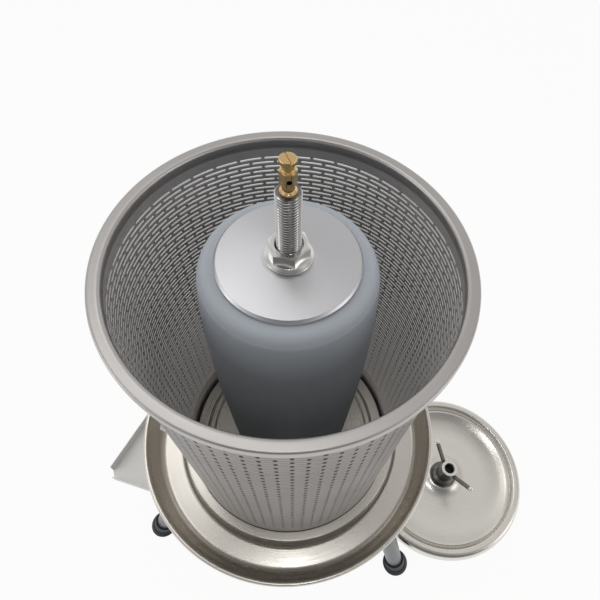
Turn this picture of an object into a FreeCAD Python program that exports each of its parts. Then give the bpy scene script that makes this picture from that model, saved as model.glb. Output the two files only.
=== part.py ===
import FreeCAD, Part
import math
import os
import re
import Sketcher

# Water pressure fruit press: a perforated basket stands over an upright rubber
# bladder on a juice tray with three splayed legs. Its lid lies on the floor beside it.
# Millimetres, +Z up, origin on the press axis at floor level.

doc = FreeCAD.newDocument("fruit_press")
sheet = doc.addObject("Spreadsheet::Sheet", "Sizes")

SIZES = {
    # basket
    "basket_radius": 160.0,
    "basket_wall": 1.5,
    "basket_length": 468.0,
    "rim_depth": 13.0,
    "rim_overhang": 6.0,
    "rim_inset": 4.0,
    "rim_underside": 9.1,
    "rim_edge": 4.5,
    "rim_hem": 1.3,
    "rim_bead": 1.2,
    "slot_columns": 19.0,
    "slot_rows": 14.0,
    "slot_tie": 8.0,
    "slot_height": 10.0,
    "slot_top_margin": 28.0,
    "slot_foot_margin": 36.0,
    # juice tray
    "seat_height": 336.0,
    "tray_sheet": 2.0,
    "tray_radius": 235.0,
    "tray_rim_rise": 24.0,
    "tray_curl": 3.5,
    "tray_bend": 8.0,
    "plateau_radius": 174.0,
    "ring_inner": 138.0,
    "groove_width": 9.0,
    "groove_depth": 6.0,
    "floor_drop": 3.0,
    "trough_depth": 22.0,
    "trough_inner": 182.0,
    "trough_outer": 208.0,
    "seal_inner": 152.0,
    "seal_outer": 160.5,
    "seal_thickness": 3.0,
    "seat_clearance": 0.3,
    # spout
    "spout_azimuth": -158.6,
    "spout_skew": 8.5,
    "spout_root": 150.0,
    "spout_reach": 299.5,
    "spout_root_width": 259.0,
    "spout_tip_width": 15.0,
    "spout_depth": 14.0,
    "spout_rise": 4.5,
    "spout_fall": 24.0,
    "spout_sheet": 2.0,
    "window_azimuth": 178.5,
    "window_width": 40.0,
    "window_height": 12.0,
    # legs and feet
    "leg_radius": 16.0,
    "leg_wall": 2.0,
    "leg_circle": 288.0,
    "leg_splay": 0.334,
    "leg_end_gap": 6.0,
    "leg_first_azimuth": -150.0,
    "socket_wall": 3.0,
    "socket_length": 46.0,
    "socket_plate_radius": 22.0,
    "socket_plate": 4.0,
    "foot_radius": 26.0,
    "foot_base": 8.0,
    "foot_cup_wall": 4.0,
    "foot_cup_height": 30.0,
    "foot_sole": 6.0,
    # bladder and its clamps
    "bladder_shoulder": 81.0,
    "bladder_waist": 87.5,
    "bladder_base": 81.0,
    "bladder_wall": 5.0,
    "bladder_top": 801.0,
    "bladder_lip": 66.0,
    "shoulder_drop": 15.0,
    "shoulder_corner": 4.5,
    "clamp_radius": 64.5,
    "clamp_edge": 5.0,
    "clamp_rise": 3.0,
    "inner_clamp_radius": 50.0,
    "inner_clamp": 6.0,
    # spindle and nuts
    "spindle_radius": 10.5,
    "spindle_bore": 5.0,
    "spindle_top": 884.0,
    "spindle_tail": 30.0,
    "water_hole": 3.0,
    "water_hole_height": 90.0,
    "nut_flats": 32.0,
    "nut_height": 17.0,
    "nut_flange_radius": 21.4,
    "nut_flange": 4.0,
    "jam_nut_height": 10.0,
    "washer_radius": 24.0,
    "washer": 3.0,
    # bleed valve
    "bleed_thread": 4.5,
    "bleed_thread_length": 8.0,
    "bleed_washer_radius": 7.0,
    "bleed_washer": 1.2,
    "bleed_foot_radius": 5.0,
    "bleed_foot": 7.3,
    "bleed_flats": 11.0,
    "bleed_hex": 11.8,
    "bleed_neck_radius": 5.4,
    "bleed_neck": 1.7,
    "bleed_bore": 2.5,
    "bleed_side_hole": 2.0,
    "bleed_side_hole_rise": 12.0,
    "bleed_screw_clearance": 0.05,
    "bleed_screw_length": 12.0,
    "bleed_ring_height": 1.0,
    "bleed_head_radius": 6.5,
    "bleed_skirt_radius": 4.5,
    "bleed_skirt": 4.7,
    "bleed_head": 3.3,
    "bleed_slot": 1.3,
    "bleed_slot_depth": 1.5,
    # water inlet under the tray
    "inlet_azimuth": 150.0,
    "elbow_radius": 15.0,
    "elbow_bore": 6.5,
    "elbow_height": 36.0,
    "elbow_reach": 40.0,
    "valve_length": 50.0,
    "valve_radius": 19.0,
    "ball_radius": 12.0,
    "ball_gap": 0.3,
    "stem_radius": 4.0,
    "stem_clearance": 0.05,
    "stem_length": 31.0,
    "stem_boss_radius": 9.0,
    "stem_boss": 5.0,
    "lever_length": 92.0,
    "lever_width": 16.0,
    "lever_sheet": 3.0,
    "lever_gap": 0.6,
    "lever_nut_flats": 10.0,
    "lever_nut": 4.0,
    "coupling_length": 34.0,
    "coupling_thread": 13.2,
    "coupling_collar": 17.0,
    # lid
    "lid_x": 344.0,
    "lid_y": 53.0,
    "lid_radius": 179.0,
    "lid_sheet": 2.0,
    "lid_curl": 3.0,
    "lid_height": 22.0,
    "lid_flange_inner": 159.0,
    "lid_groove_radius": 154.0,
    "lid_groove_depth": 10.0,
    "lid_shelf_radius": 144.0,
    "lid_shelf_rise": 3.5,
    "lid_dish_radius": 60.0,
    "lid_dish_drop": 8.0,
    "lid_bend": 5.0,
    "lid_hole": 11.5,
    "lid_boss_radius": 30.0,
    "lid_boss": 5.0,
    # lid nut
    "hub_radius": 18.0,
    "hub_base_radius": 25.0,
    "hub_base": 7.0,
    "hub_height": 57.0,
    "hub_bore": 9.2,
    "arm_azimuth": 129.0,
    "arm_radius": 4.5,
    "arm_reach": 58.0,
    "arm_rise": 38.5,
    "arm_drop": 8.5,
    "arm_ball": 5.2,
}

for row, (alias, number) in enumerate(SIZES.items(), start=1):
    sheet.set(f"A{row}", alias)
    sheet.set(f"B{row}", str(number))
    sheet.setAlias(f"B{row}", alias)
doc.recompute()

AXIS = FreeCAD.Vector(0, 0, 1)
ORIGIN = FreeCAD.Vector(0, 0, 0)
LEVEL = FreeCAD.Rotation(FreeCAD.Vector(0, 1, 0), 90)
SUB_PARTS = []


# Reading and binding sizes
def size(alias):
    """A driving dimension, read from the sheet."""
    return float(sheet.get(alias))


def total(expression):
    """Value of a sum of sizes, such as seat_height - 2 * tray_sheet."""
    result = 0.0
    for sign, term in re.findall(r"([+-]?)([^+-]+)", expression):
        product = -1.0 if sign == "-" else 1.0
        for factor in term.split("*"):
            word = factor.strip()
            product *= size(word) if word in SIZES else float(word)
        result += product
    return result


def bound(expression):
    """The same sum as an expression on the sheet."""
    return re.sub(r"[a-z_]+", lambda word: "Sizes." + word.group() if word.group() in SIZES else word.group(),
                  expression)


def bind(item, **properties):
    """Bind properties of an object to sums of sizes."""
    for name, expression in properties.items():
        item.setExpression(name, bound(expression))
    return item


# Ways to make a sub-part
def keep(item, label=None):
    """Count an object as a sub-part that gets its own file."""
    if label:
        item.Label = label
    SUB_PARTS.append(item)
    return item


def lift(item, height):
    """Bind the height at which an object stands."""
    item.setExpression("Placement.Base.z", bound(height))
    return item


def cylinder(radius, height, base="0"):
    """Upright cylinder that stands at a bound height."""
    item = doc.addObject("Part::Cylinder", "cylinder")
    return lift(bind(item, Radius=radius, Height=height), base)


def hexagon(flats, height, base="0"):
    """Upright hexagonal prism, given across its flats."""
    item = doc.addObject("Part::Prism", "hexagon")
    item.Polygon = 6
    item.setExpression("Circumradius", f"{bound(flats)} / (2 * cos(30 deg))")
    item.setExpression("Height", bound(height))
    return lift(item, base)


def cut(base, tool):
    item = doc.addObject("Part::Cut", "cut")
    item.Base = base
    item.Tool = tool
    return item


def fuse(*items):
    item = doc.addObject("Part::MultiFuse", "fuse")
    item.Shapes = list(items)
    return item


def shaped(label, shape):
    """Hold a computed shape as a sub-part."""
    item = doc.addObject("Part::Feature", label)
    item.Shape = shape
    return keep(item)


def turned(label, outline):
    """Body turned about the Z axis from a closed outline of (radius, height) sums."""
    body = doc.addObject("PartDesign::Body", label)
    sketch = body.newObject("Sketcher::SketchObject", label + "_section")
    plane = [item for item in body.Origin.OriginFeatures if item.Role == "XZ_Plane"][0]
    sketch.AttachmentSupport = [(plane, "")]
    sketch.MapMode = "FlatFace"
    corners = [FreeCAD.Vector(total(radius), total(height), 0) for radius, height in outline]
    count = len(corners)
    for index in range(count):
        sketch.addGeometry(Part.LineSegment(corners[index], corners[(index + 1) % count]), False)
    for index in range(count):
        sketch.addConstraint(Sketcher.Constraint("Coincident", index, 2, (index + 1) % count, 1))
    for index, (radius, height) in enumerate(outline):
        for kind, axis, expression, place in (("DistanceX", -2, radius, corners[index].x),
                                              ("DistanceY", -1, height, corners[index].y)):
            if expression == "0":
                sketch.addConstraint(Sketcher.Constraint("PointOnObject", index, 1, axis))
            else:
                number = sketch.addConstraint(Sketcher.Constraint(kind, -1, 1, index, 1, place))
                sketch.setExpression(f"Constraints[{number}]", bound(expression))
    turn = body.newObject("PartDesign::Revolution", label + "_turn")
    turn.Profile = sketch
    turn.ReferenceAxis = (sketch, ["V_Axis"])
    turn.Angle = 360
    return body


def ring(label, inner, outer, base, height):
    """Flat ring as a turned body."""
    top = f"{base} + {height}"
    return keep(turned(label, [(inner, base), (outer, base), (outer, top), (inner, top)]))


# Pressed sheet
def parallel(points, distance):
    """An open line of (radius, height) points, moved sideways with mitred corners."""
    steps = [(second - first).normalize() for first, second in zip(points, points[1:])]
    normals = [FreeCAD.Vector(step.z, 0, -step.x) for step in steps]
    moved = [points[0] + normals[0] * distance]
    for index in range(1, len(points) - 1):
        middle = normals[index - 1] + normals[index]
        moved.append(points[index] + middle * (2 * distance / middle.dot(middle)))
    moved.append(points[-1] + normals[-1] * distance)
    return moved


def rounded(points, radii):
    """Edges along an open line of points, with a tangent arc at each inner corner."""
    edges = []
    start = points[0]
    for index in range(1, len(points) - 1):
        corner = points[index]
        before = (corner - points[index - 1]).normalize()
        after = (points[index + 1] - corner).normalize()
        turn = before.getAngle(after)
        radius = radii[index - 1]
        if radius <= 0 or turn < math.radians(1):
            edges.append(Part.LineSegment(start, corner).toShape())
            start = corner
            continue
        reach = radius * math.tan(turn / 2)
        inward = (after - before).normalize()
        entry = corner - before * reach
        leave = corner + after * reach
        middle = corner + inward * (radius / math.cos(turn / 2) - radius)
        edges.append(Part.LineSegment(start, entry).toShape())
        edges.append(Part.Arc(entry, middle, leave).toShape())
        start = leave
    edges.append(Part.LineSegment(start, points[-1]).toShape())
    return edges


def pressed(outline, thickness, bend):
    """Sheet turned about the Z axis: its upper side follows (radius, height) points."""
    upper = [FreeCAD.Vector(radius, 0, height) for radius, height, turn in outline]
    lower = parallel(upper, thickness)
    upper_radii = []
    lower_radii = []
    for index in range(1, len(upper) - 1):
        before = upper[index] - upper[index - 1]
        after = upper[index + 1] - upper[index]
        hollow = before.cross(after).y < 0
        share = outline[index][2]
        upper_radii.append(bend * share if hollow else (bend + thickness) * share)
        lower_radii.append((bend + thickness) * share if hollow else bend * share)
    top = rounded(upper, upper_radii)
    bottom = rounded(lower, lower_radii)
    ends = [Part.LineSegment(upper[0], lower[0]).toShape(), Part.LineSegment(upper[-1], lower[-1]).toShape()]
    section = Part.Wire(Part.__sortEdges__(top + bottom + ends))
    return Part.Face(section).revolve(ORIGIN, AXIS, 360)


def rod(start, end, radius):
    """Round bar between two points."""
    run = end - start
    return Part.makeCylinder(radius, run.Length, start, run)


# Heights that several pieces share
TRAY_FLOOR = "seat_height - floor_drop"
TRAY_UNDERSIDE = "seat_height - floor_drop - tray_sheet"
RIM_TOP = "seat_height + basket_length"
CLAMP_SEAT = "bladder_top"
NUT_SEAT = "bladder_top + clamp_edge + clamp_rise"
SPINDLE_FOOT = "seat_height - floor_drop - tray_sheet - spindle_tail"


# Juice tray, its spout and the basket's seal
def spout_passage(margin):
    """Tapered run of the spout, grown by a margin at its sides and floor."""
    floor = size("seat_height") - size("trough_depth")
    sections = []
    for reach, width, drop in ((size("spout_root"), size("spout_root_width"), -size("spout_rise")),
                               (size("spout_reach"), size("spout_tip_width"), size("spout_fall"))):
        half = width / 2 + margin
        low = floor - drop - margin
        high = floor - drop + size("spout_depth")
        corners = [FreeCAD.Vector(reach, side * half, height)
                   for side, height in ((-1, low), (1, low), (1, high), (-1, high))]
        sections.append(Part.makePolygon(corners + corners[:1]))
    return Part.makeLoft(sections, True, True)


def tray_outline():
    """Upper side of the tray from the spindle hole out to the rim."""
    seat = size("seat_height")
    floor = total(TRAY_FLOOR)
    groove = size("ring_inner") - size("groove_width")
    slope = size("floor_drop")
    seal_floor = seat - size("seal_thickness")
    gap = size("seat_clearance")
    trough = seat - size("trough_depth")
    curl_radius = size("tray_radius") - size("tray_curl")
    rim = seat + size("tray_rim_rise") - size("tray_curl")
    return [
        (size("spindle_radius") + gap, floor, 0),
        (groove - slope, floor, 0),
        (groove, seat - size("groove_depth"), 0),
        (size("ring_inner") - slope, seat - size("groove_depth"), 0),
        (size("ring_inner"), seat, 0),
        (size("seal_inner") - gap, seat, 0),
        (size("seal_inner") - gap, seal_floor, 0),
        (size("seal_outer") + gap, seal_floor, 0),
        (size("seal_outer") + gap, seat, 0),
        (size("plateau_radius"), seat, 0.25),
        (size("trough_inner"), trough, 1),
        (size("trough_outer"), trough, 2),
        (curl_radius, rim, 0),
    ]


def make_tray():
    """Spun pan with a rolled edge, and a window in its wall where the juice leaves the trough."""
    pan = pressed(tray_outline(), size("tray_sheet"), size("tray_bend"))
    curl = Part.makeTorus(size("tray_radius") - size("tray_curl"), size("tray_curl"))
    curl.translate(FreeCAD.Vector(0, 0, size("seat_height") + size("tray_rim_rise") - size("tray_curl")))
    width = size("window_width")
    start = (size("trough_inner") + size("trough_outer")) / 2
    window = Part.makeBox(size("tray_radius") - start, width, size("window_height"),
                          FreeCAD.Vector(start, -width / 2, size("seat_height") - size("trough_depth")))
    window.rotate(ORIGIN, AXIS, size("window_azimuth"))
    shaped("juice_tray", pan.fuse(curl).cut(window).removeSplitter())
    return pan


def make_spout(pan):
    """Wide beak under the rim, whose sides run up to the tray's wall on both sides of the window."""
    chute = spout_passage(size("spout_sheet")).cut(spout_passage(0))
    chute.rotate(FreeCAD.Vector(size("spout_reach"), 0, 0), AXIS, size("spout_skew"))
    chute.rotate(ORIGIN, AXIS, size("spout_azimuth"))
    trough = size("seat_height") - size("trough_depth")
    below = Part.makeCylinder(size("trough_outer"), trough)
    inside = Part.makeCone(size("trough_outer"), size("tray_radius") - size("tray_curl"),
                           size("trough_depth") + size("tray_rim_rise") - size("tray_curl"),
                           FreeCAD.Vector(0, 0, trough))
    solids = sorted(chute.cut(below).cut(inside).cut(pan).Solids, key=lambda solid: solid.Volume)
    shaped("tray_spout", solids[-1])


# Legs
def leg_axis():
    """Lower and upper ends of a leg's centre line, in the plane of azimuth zero."""
    top = size("seat_height") - size("trough_depth") - size("tray_sheet") - size("socket_plate")
    foot = FreeCAD.Vector(size("leg_circle"), 0, 0)
    head = FreeCAD.Vector(size("leg_circle") - size("leg_splay") * top, 0, top)
    return foot, head


def make_leg(name, azimuth):
    foot, head = leg_axis()
    along = (head - foot).normalize()
    outer = size("leg_radius")
    lower = foot + along * size("foot_sole")
    upper = head - along * size("leg_end_gap")
    tube = rod(lower, upper, outer).cut(rod(lower, upper, outer - size("leg_wall")))
    bore = rod(lower, upper, outer)
    plate_base = head.z
    sleeve = rod(head - along * size("socket_length"), head, outer + size("socket_wall"))
    plate = Part.makeCylinder(size("socket_plate_radius"), size("socket_plate"),
                              FreeCAD.Vector(head.x, 0, plate_base))
    reach = size("leg_circle")
    above = Part.makeBox(2 * reach, 2 * reach, size("socket_length"),
                         FreeCAD.Vector(0, -reach, plate_base + size("socket_plate")))
    socket = plate.fuse(sleeve).cut(bore).cut(above)
    pad = Part.makeCone(size("foot_radius"), outer + size("foot_cup_wall"), size("foot_base"), foot)
    cup = rod(foot, foot + along * size("foot_cup_height"), outer + size("foot_cup_wall"))
    floor_depth = size("foot_cup_height")
    below = Part.makeBox(2 * reach, 2 * reach, floor_depth, FreeCAD.Vector(0, -reach, -floor_depth))
    boot = pad.fuse(cup).cut(bore).cut(below)
    for label, shape in ((f"leg_tube_{name}", tube), (f"leg_socket_{name}", socket), (f"rubber_foot_{name}", boot)):
        shape.rotate(ORIGIN, AXIS, azimuth)
        shaped(label, shape)


# Bladder
def make_bladder():
    """Hollow rubber barrel with a flat head and foot, each clamped round the spindle."""
    wall = size("bladder_wall")
    floor = total(TRAY_FLOOR)
    top = size("bladder_top")
    shoulder = top - size("shoulder_drop")
    middle = (floor + shoulder) / 2
    hole = size("spindle_radius") + size("seat_clearance")

    def skin(inset):
        corner = size("shoulder_corner")
        lip = FreeCAD.Vector(size("bladder_lip") - inset, 0, top - inset)
        bend = FreeCAD.Vector(size("bladder_shoulder") - corner - inset, 0, top - corner - inset)
        high = FreeCAD.Vector(size("bladder_shoulder") - inset, 0, shoulder)
        waist = FreeCAD.Vector(size("bladder_waist") - inset, 0, middle)
        low = FreeCAD.Vector(size("bladder_base") - inset, 0, floor + inset)
        return lip, bend, high, waist, low

    outer = skin(0)
    inner = skin(wall)
    head = FreeCAD.Vector(hole, 0, top)
    foot = FreeCAD.Vector(hole, 0, floor)
    edges = [Part.LineSegment(head, outer[0]).toShape(),
             Part.Arc(outer[0], outer[1], outer[2]).toShape(),
             Part.Arc(outer[2], outer[3], outer[4]).toShape(),
             Part.LineSegment(outer[4], foot).toShape(),
             Part.LineSegment(foot, foot + AXIS * wall).toShape(),
             Part.LineSegment(foot + AXIS * wall, inner[4]).toShape(),
             Part.Arc(inner[4], inner[3], inner[2]).toShape(),
             Part.Arc(inner[2], inner[1], inner[0]).toShape(),
             Part.LineSegment(inner[0], head - AXIS * wall).toShape(),
             Part.LineSegment(head - AXIS * wall, head).toShape()]
    shaped("bladder", Part.Face(Part.Wire(edges)).revolve(ORIGIN, AXIS, 360))


def make_clamps():
    keep(turned("top_clamp", [
        ("spindle_radius + seat_clearance", CLAMP_SEAT),
        ("clamp_radius", CLAMP_SEAT),
        ("clamp_radius", f"{CLAMP_SEAT} + clamp_edge"),
        ("nut_flange_radius + clamp_rise", NUT_SEAT),
        ("spindle_radius + seat_clearance", NUT_SEAT),
    ]))
    ring("upper_inner_clamp", "spindle_radius + seat_clearance", "inner_clamp_radius",
         f"{CLAMP_SEAT} - bladder_wall - inner_clamp", "inner_clamp")
    ring("lower_inner_clamp", "spindle_radius + seat_clearance", "inner_clamp_radius",
         f"{TRAY_FLOOR} + bladder_wall", "inner_clamp")


# Spindle and its nuts
def make_spindle():
    bar = turned("spindle_bar", [
        ("spindle_bore", SPINDLE_FOOT),
        ("spindle_radius", SPINDLE_FOOT),
        ("spindle_radius", "spindle_top"),
        ("bleed_thread", "spindle_top"),
        ("bleed_thread", "spindle_top - bleed_thread_length"),
        ("spindle_bore - seat_clearance", "spindle_top - bleed_thread_length - spindle_bore"),
        ("spindle_bore - seat_clearance", "spindle_top - 2 * bleed_thread_length"),
        ("spindle_bore", "spindle_top - 3 * bleed_thread_length"),
    ])
    drill = lift(bind(doc.addObject("Part::Cylinder", "drill"), Radius="water_hole", Height="4 * spindle_radius"),
                 "seat_height + water_hole_height")
    drill.Placement.Rotation = LEVEL
    drill.setExpression("Placement.Base.x", bound("-2 * spindle_radius"))
    keep(cut(bar, drill), "spindle")


def plain_nut(label, base):
    blank = hexagon("nut_flats", "jam_nut_height", base)
    bore = cylinder("spindle_radius + seat_clearance", "jam_nut_height", base)
    keep(cut(blank, bore), label)


def make_nuts():
    flange = cylinder("nut_flange_radius", "nut_flange", NUT_SEAT)
    hexed = hexagon("nut_flats", "nut_height", NUT_SEAT)
    bore = cylinder("spindle_radius + seat_clearance", "nut_height", NUT_SEAT)
    keep(cut(fuse(flange, hexed), bore), "flange_nut")
    plain_nut("upper_jam_nut", f"{CLAMP_SEAT} - bladder_wall - inner_clamp - jam_nut_height")
    plain_nut("lower_jam_nut", f"{TRAY_FLOOR} + bladder_wall + inner_clamp")
    ring("tray_washer", "spindle_radius + seat_clearance", "washer_radius", f"{TRAY_UNDERSIDE} - washer", "washer")
    plain_nut("tray_nut", f"{TRAY_UNDERSIDE} - washer - jam_nut_height")


# Bleed valve on top of the spindle
BLEED_SEAT = "spindle_top + bleed_washer"
HEX_SEAT = "spindle_top + bleed_washer + bleed_foot"
NECK_TOP = "spindle_top + bleed_washer + bleed_foot + bleed_hex + bleed_neck"


def make_bleed_valve():
    ring("bleed_washer", "bleed_thread + seat_clearance", "bleed_washer_radius", "spindle_top", "bleed_washer")
    foot = cylinder("bleed_foot_radius", "bleed_foot", BLEED_SEAT)
    hexed = hexagon("bleed_flats", "bleed_hex", HEX_SEAT)
    neck = cylinder("bleed_neck_radius", "bleed_neck", f"{HEX_SEAT} + bleed_hex")
    thread = cylinder("bleed_thread", "bleed_thread_length + bleed_washer", "spindle_top - bleed_thread_length")
    bore = cylinder("bleed_bore", "bleed_thread_length + bleed_washer + bleed_foot + bleed_hex + bleed_neck",
                    "spindle_top - bleed_thread_length")
    side = lift(bind(doc.addObject("Part::Cylinder", "side_hole"), Radius="bleed_side_hole", Height="2 * bleed_flats"),
                f"{BLEED_SEAT} + bleed_side_hole_rise")
    side.Placement.Rotation = FreeCAD.Rotation(FreeCAD.Vector(1, 0, 0), 90)
    side.setExpression("Placement.Base.y", bound("bleed_flats"))
    keep(cut(cut(fuse(foot, hexed, neck, thread), bore), side), "bleed_valve_body")
    screw_foot = f"{NECK_TOP} - bleed_screw_length"
    shank = cylinder("bleed_bore - bleed_screw_clearance", "bleed_screw_length", screw_foot)
    skirt = cylinder("bleed_skirt_radius", "bleed_skirt", NECK_TOP)
    head = cylinder("bleed_head_radius", "bleed_head", f"{NECK_TOP} + bleed_skirt")
    slot = doc.addObject("Part::Box", "slot")
    bind(slot, Length="2 * bleed_head_radius", Width="bleed_slot", Height="bleed_slot_depth")
    slot.setExpression("Placement.Base.x", bound("-1 * bleed_head_radius"))
    slot.setExpression("Placement.Base.y", bound("-0.5 * bleed_slot"))
    lift(slot, f"{NECK_TOP} + bleed_skirt + bleed_head - bleed_slot_depth")
    keep(cut(fuse(shank, skirt, head), slot), "bleed_screw")
    keep(cylinder("bleed_bore - bleed_screw_clearance", "bleed_ring_height", f"{screw_foot} - bleed_ring_height"),
         "bleed_ring")


# Basket
def make_basket():
    shell_top = f"{RIM_TOP} - rim_depth"
    outer = cylinder("basket_radius", "basket_length - rim_depth", "seat_height")
    inner = cylinder("basket_radius - basket_wall", "basket_length - rim_depth", "seat_height")
    columns = int(size("slot_columns"))
    rows = int(size("slot_rows"))
    pitch = 2 * math.pi * size("basket_radius") / columns
    length = pitch - size("slot_tie")
    height = size("slot_height")
    depth = 4 * size("basket_wall")
    first = total(f"{RIM_TOP} - slot_top_margin") - height / 2
    last = total("seat_height + slot_foot_margin") + height / 2
    cutters = []
    for row in range(rows):
        level = first - (first - last) * row / (rows - 1)
        for column in range(columns):
            cutter = Part.makeBox(depth, length, height,
                                  FreeCAD.Vector(size("basket_radius") - depth / 2, -length / 2, level - height / 2))
            cutter.rotate(ORIGIN, AXIS, (column + (row % 2) / 2) * 360 / columns)
            cutters.append(cutter)
    slots = doc.addObject("Part::Feature", "slots")
    slots.Shape = Part.makeCompound(cutters)
    keep(cut(cut(outer, inner), slots), "basket_wall")
    keep(turned("basket_rim", [
        ("basket_radius - basket_wall", shell_top),
        ("basket_radius", shell_top),
        ("basket_radius", f"{RIM_TOP} - rim_underside"),
        ("basket_radius + rim_overhang - rim_hem", f"{RIM_TOP} - rim_underside + rim_hem"),
        ("basket_radius + rim_overhang", f"{RIM_TOP} - rim_edge"),
        ("basket_radius + rim_overhang - rim_hem", f"{RIM_TOP} - rim_edge + 2 * rim_hem"),
        ("basket_radius", RIM_TOP),
        ("basket_radius - basket_wall - rim_inset + rim_bead", RIM_TOP),
        ("basket_radius - basket_wall - rim_inset", f"{RIM_TOP} - rim_bead"),
    ]))


# Water inlet under the tray
def make_inlet():
    """Elbow on the spindle's tail, ball valve with a lever below it, and hose coupling."""
    azimuth = size("inlet_azimuth")
    foot = total(SPINDLE_FOOT)
    level = foot - size("elbow_radius") / 2
    radius = size("elbow_radius")
    bore = size("elbow_bore")
    low = level - radius
    head = low + size("elbow_height")
    start = FreeCAD.Vector(0, 0, level)
    elbow_end = FreeCAD.Vector(size("elbow_reach"), 0, level)
    upright = Part.makeCylinder(radius, head - low, FreeCAD.Vector(0, 0, low))
    elbow = upright.fuse(rod(start, elbow_end, radius))
    elbow = elbow.cut(rod(start, elbow_end, bore)).cut(Part.makeCylinder(bore, foot - level, start))
    elbow = elbow.cut(Part.makeCylinder(size("spindle_radius"), head - foot, FreeCAD.Vector(0, 0, foot)))
    ball_centre = elbow_end + FreeCAD.Vector(size("valve_length") / 2, 0, 0)
    valve_end = elbow_end + FreeCAD.Vector(size("valve_length"), 0, 0)
    down = FreeCAD.Vector(0, 0, -1)
    boss_reach = size("valve_radius") + size("stem_boss")
    body = rod(elbow_end, valve_end, size("valve_radius"))
    body = body.fuse(rod(ball_centre, ball_centre + down * boss_reach, size("stem_boss_radius")))
    body = body.cut(rod(elbow_end, valve_end, bore))
    body = body.cut(Part.makeSphere(size("ball_radius") + size("ball_gap"), ball_centre))
    body = body.cut(rod(ball_centre, ball_centre + down * boss_reach, size("stem_radius") + size("stem_clearance")))
    ball = Part.makeSphere(size("ball_radius"), ball_centre)
    ball = ball.cut(rod(elbow_end, valve_end, bore))
    stem_top = ball_centre + down * (size("ball_radius") - 2 * size("stem_clearance"))
    stem_end = ball_centre + down * size("stem_length")
    stem = rod(stem_top, stem_end, size("stem_radius")).cut(Part.makeSphere(size("ball_radius"), ball_centre))
    lever_top = ball_centre.z - boss_reach - size("lever_gap")
    sheet_thickness = size("lever_sheet")
    width = size("lever_width")
    blade = Part.makeBox(size("lever_length"), width, sheet_thickness,
                         FreeCAD.Vector(ball_centre.x, -width / 2, lever_top - sheet_thickness))
    eye = Part.makeCylinder(width / 2, sheet_thickness,
                            FreeCAD.Vector(ball_centre.x, 0, lever_top - sheet_thickness))
    tip = Part.makeCylinder(width / 2, sheet_thickness,
                            FreeCAD.Vector(ball_centre.x + size("lever_length"), 0, lever_top - sheet_thickness))
    lever = blade.fuse(eye).fuse(tip).cut(rod(stem_top, stem_end, size("stem_radius"))).removeSplitter()
    nut_radius = size("lever_nut_flats") / (2 * math.cos(math.radians(30)))
    corners = [FreeCAD.Vector(nut_radius * math.cos(math.radians(60 * turn)),
                              nut_radius * math.sin(math.radians(60 * turn)), 0) for turn in range(7)]
    nut = Part.Face(Part.makePolygon(corners)).extrude(FreeCAD.Vector(0, 0, -size("lever_nut")))
    nut.translate(FreeCAD.Vector(ball_centre.x, 0, lever_top - sheet_thickness))
    nut = nut.cut(rod(stem_top, stem_end, size("stem_radius")))
    collar_end = valve_end + FreeCAD.Vector(size("coupling_length") / 2, 0, 0)
    coupling_end = valve_end + FreeCAD.Vector(size("coupling_length"), 0, 0)
    coupling = rod(valve_end, collar_end, size("coupling_collar"))
    coupling = coupling.fuse(rod(collar_end, coupling_end, size("coupling_thread")))
    coupling = coupling.cut(rod(valve_end, coupling_end, bore))
    for label, shape in (("inlet_elbow", elbow), ("valve_body", body), ("valve_ball", ball), ("valve_stem", stem),
                         ("valve_lever", lever), ("lever_nut", nut), ("hose_coupling", coupling)):
        shape.rotate(ORIGIN, AXIS, azimuth)
        shaped(label, shape)


# Lid with its nut, lying on the floor
def make_lid():
    spot = FreeCAD.Vector(size("lid_x"), size("lid_y"), 0)
    flange = size("lid_height")
    groove = flange - size("lid_groove_depth")
    shelf = groove + size("lid_shelf_rise")
    dish = shelf - size("lid_dish_drop")
    edge = size("lid_radius") - size("lid_curl")
    outline = [
        (size("lid_hole"), dish, 0),
        (size("lid_dish_radius"), dish, 8),
        (size("lid_shelf_radius"), shelf, 1),
        (size("lid_groove_radius"), groove, 0.3),
        (size("lid_flange_inner"), flange, 0.5),
        (edge - size("lid_curl"), flange, 1),
        (edge, size("lid_curl"), 0),
    ]
    pan = pressed(outline, size("lid_sheet"), size("lid_bend"))
    curl = Part.makeTorus(edge, size("lid_curl"))
    curl.translate(FreeCAD.Vector(0, 0, size("lid_curl")))
    lid = pan.fuse(curl).removeSplitter()
    lid.translate(spot)
    shaped("lid", lid)
    boss = turned("lid_boss", [
        ("lid_hole", "0"),
        ("lid_boss_radius", "0"),
        ("lid_boss_radius", "lid_boss"),
        ("lid_hole", "lid_boss"),
    ])
    boss.Placement.Base = spot + FreeCAD.Vector(0, 0, dish)
    keep(boss)
    hub_base = dish + size("lid_boss")
    hub = turned("lid_nut_hub", [
        ("hub_bore", "0"),
        ("hub_base_radius", "0"),
        ("hub_base_radius", "hub_base"),
        ("hub_radius", "hub_base + 0.5 * hub_base"),
        ("hub_radius", "hub_height"),
        ("hub_bore", "hub_height"),
    ])
    hub.Placement.Base = spot + FreeCAD.Vector(0, 0, hub_base)
    keep(hub)
    azimuth = size("arm_azimuth")
    root_height = hub_base + size("hub_height") - size("arm_drop")
    bars = []
    balls = []
    for side in (0, 180):
        turn = FreeCAD.Rotation(AXIS, azimuth + side)
        root = turn.multVec(FreeCAD.Vector(size("hub_radius"), 0, root_height))
        tip = turn.multVec(FreeCAD.Vector(size("arm_reach"), 0, root_height + size("arm_rise")))
        bars.append(rod(root, tip, size("arm_radius")).cut(
            Part.makeCylinder(size("hub_radius"), 2 * size("hub_height"))).cut(
            Part.makeSphere(size("arm_ball"), tip)).translated(spot))
        balls.append(Part.makeSphere(size("arm_ball"), tip).translated(spot))
    shaped("lid_nut_arms", Part.makeCompound(bars))
    shaped("lid_nut_balls", Part.makeCompound(balls))


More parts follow.
